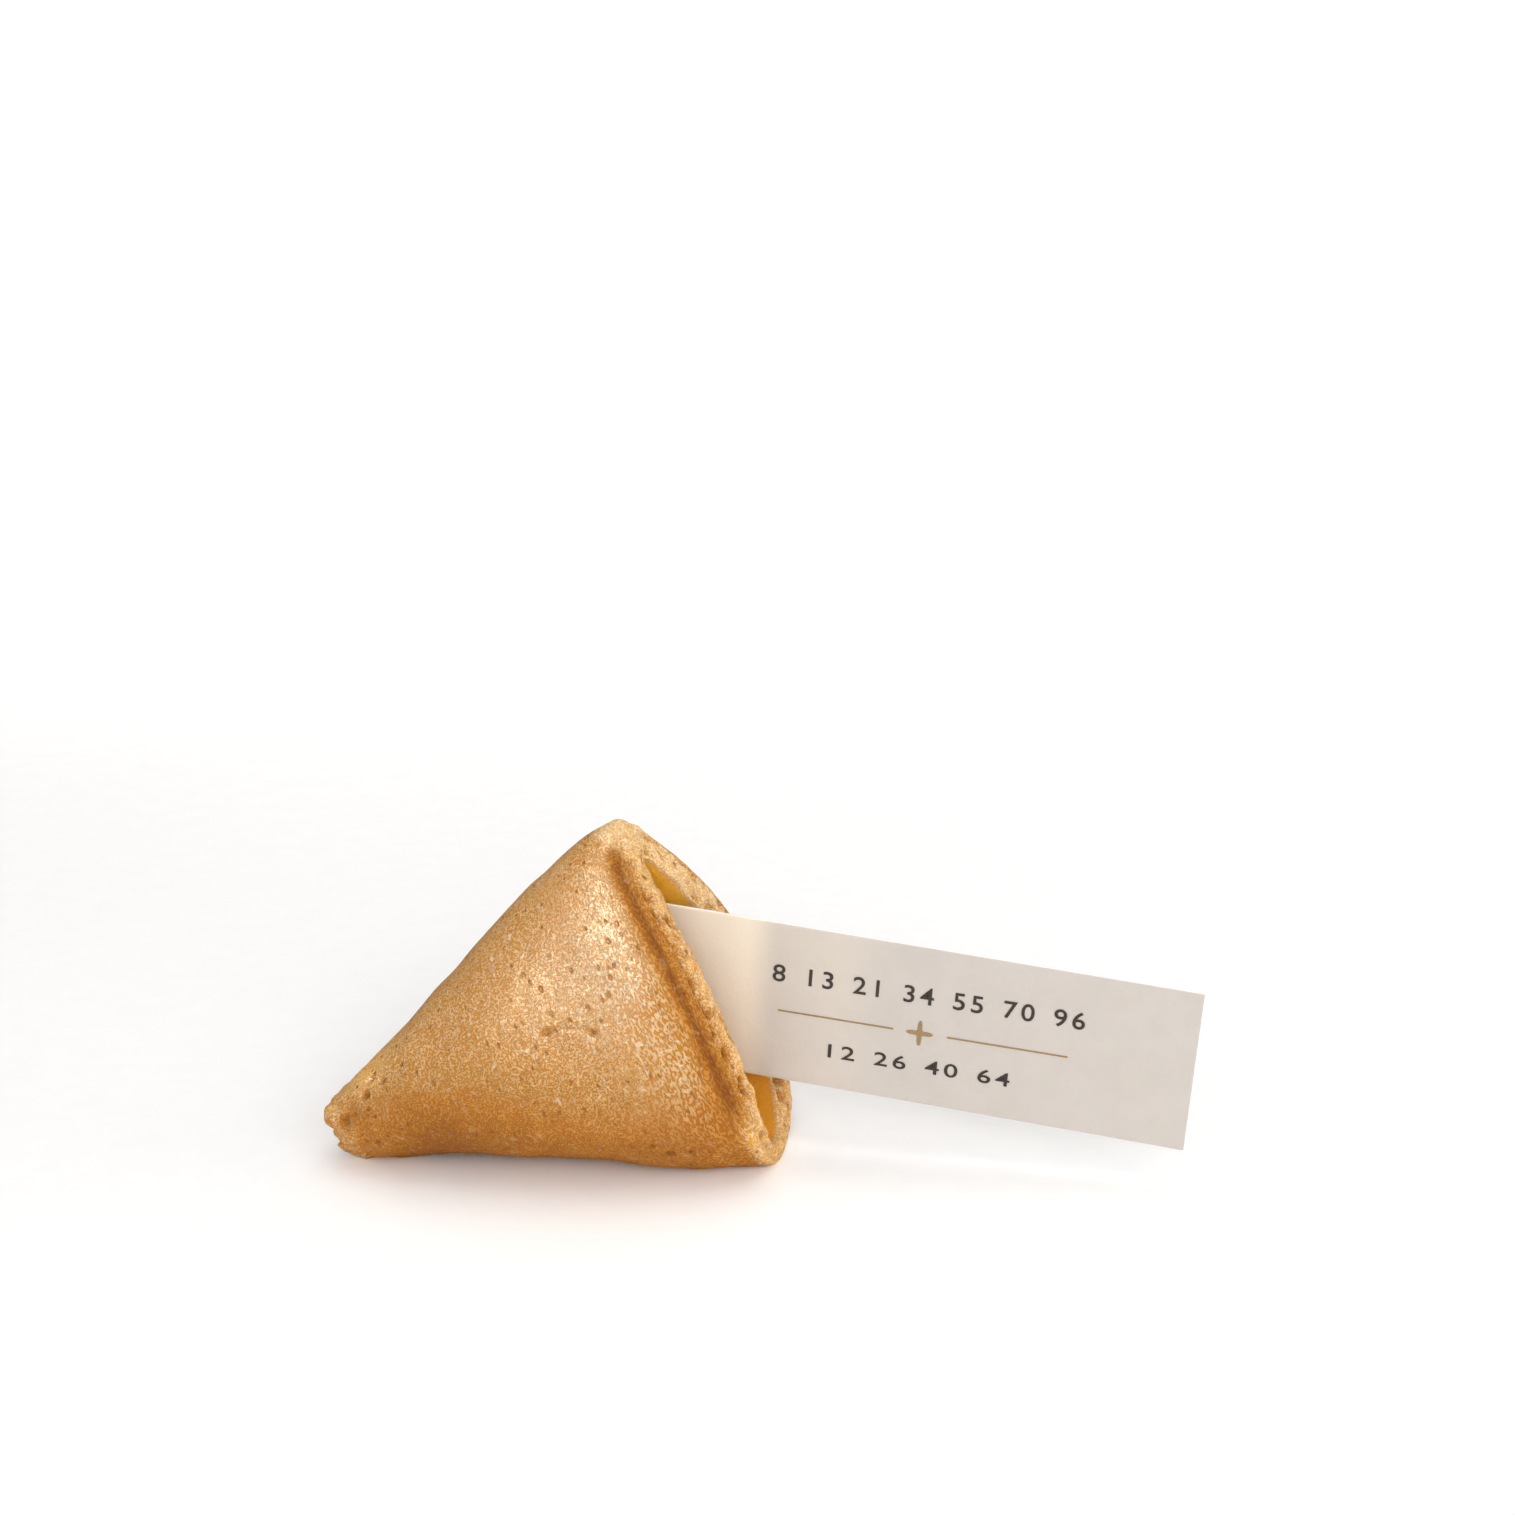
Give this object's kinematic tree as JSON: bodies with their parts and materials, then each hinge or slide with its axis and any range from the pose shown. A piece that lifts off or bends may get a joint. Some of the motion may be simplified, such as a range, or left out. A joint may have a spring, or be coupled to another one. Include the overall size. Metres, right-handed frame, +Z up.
{
  "type": "fortune cookie half with paper slip",
  "caption": "Hollow horn-shaped half of a baked fortune cookie, broken at the middle, with a flat paper slip standing in its open mouth.",
  "frame": {"origin": "middle of the whole part's footprint, on the surface it lies on", "axes": "+Z up; +X from the pinched tip towards the open mouth and the slip's free end; -Y is the side the slip's print faces"},
  "size_m": [0.079, 0.0189, 0.032],
  "materials": {
    "crust": "golden brown baked wafer with a soft sheen, fine leathery bumps and pinholes",
    "paper": "matt warm off-white card",
    "ink": "flat dark brown print"
  },
  "bodies": {
    "root": {"cookie": "crust", "slip": "paper"}
  },
  "joints": []
}
